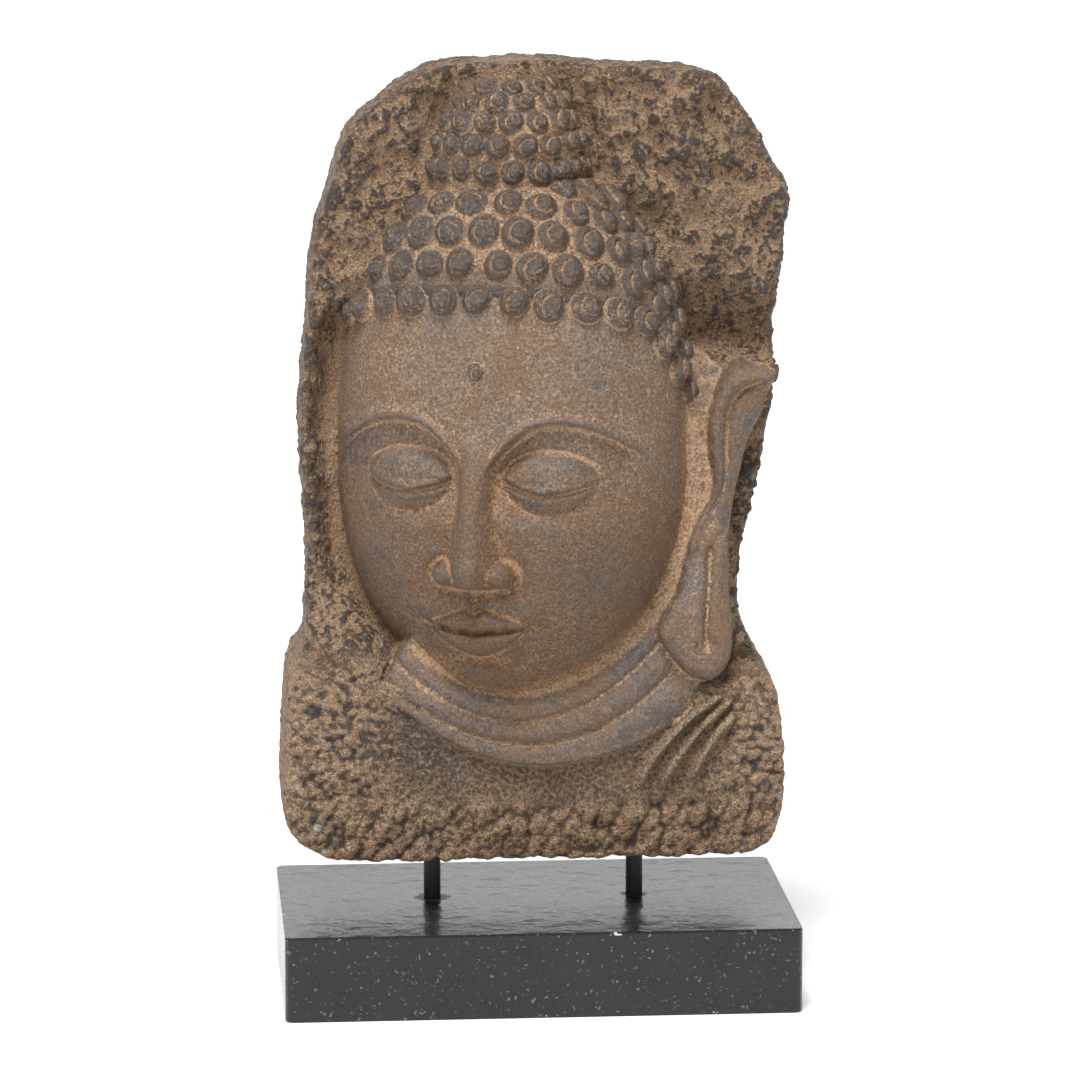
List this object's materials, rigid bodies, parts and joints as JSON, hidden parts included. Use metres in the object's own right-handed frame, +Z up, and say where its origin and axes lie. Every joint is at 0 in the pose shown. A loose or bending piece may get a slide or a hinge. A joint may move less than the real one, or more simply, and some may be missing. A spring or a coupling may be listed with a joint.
{
  "type": "carved stone buddha head relief on a pinned plinth",
  "caption": "Turned buddha head carved in high relief on a rough stone slab, held by pins over a low black plinth.",
  "frame": {"origin": "centre of the plinth's underside", "axes": "+Z up, -Y out of the carved front, +X to the right of a person who faces the carving"},
  "size_m": [0.3007, 0.1865, 0.548],
  "materials": {
    "brown_stone": "matt brown stone, dark on the raised parts, ochre dust in the hollows",
    "black_steel": "satin black paint",
    "black_cast_stone": "varnished black with fine pale flecks"
  },
  "bodies": {
    "root": {"carved_slab": "brown_stone", "pin_left": "black_steel", "pin_right": "black_steel", "plinth": "black_cast_stone"}
  },
  "joints": []
}
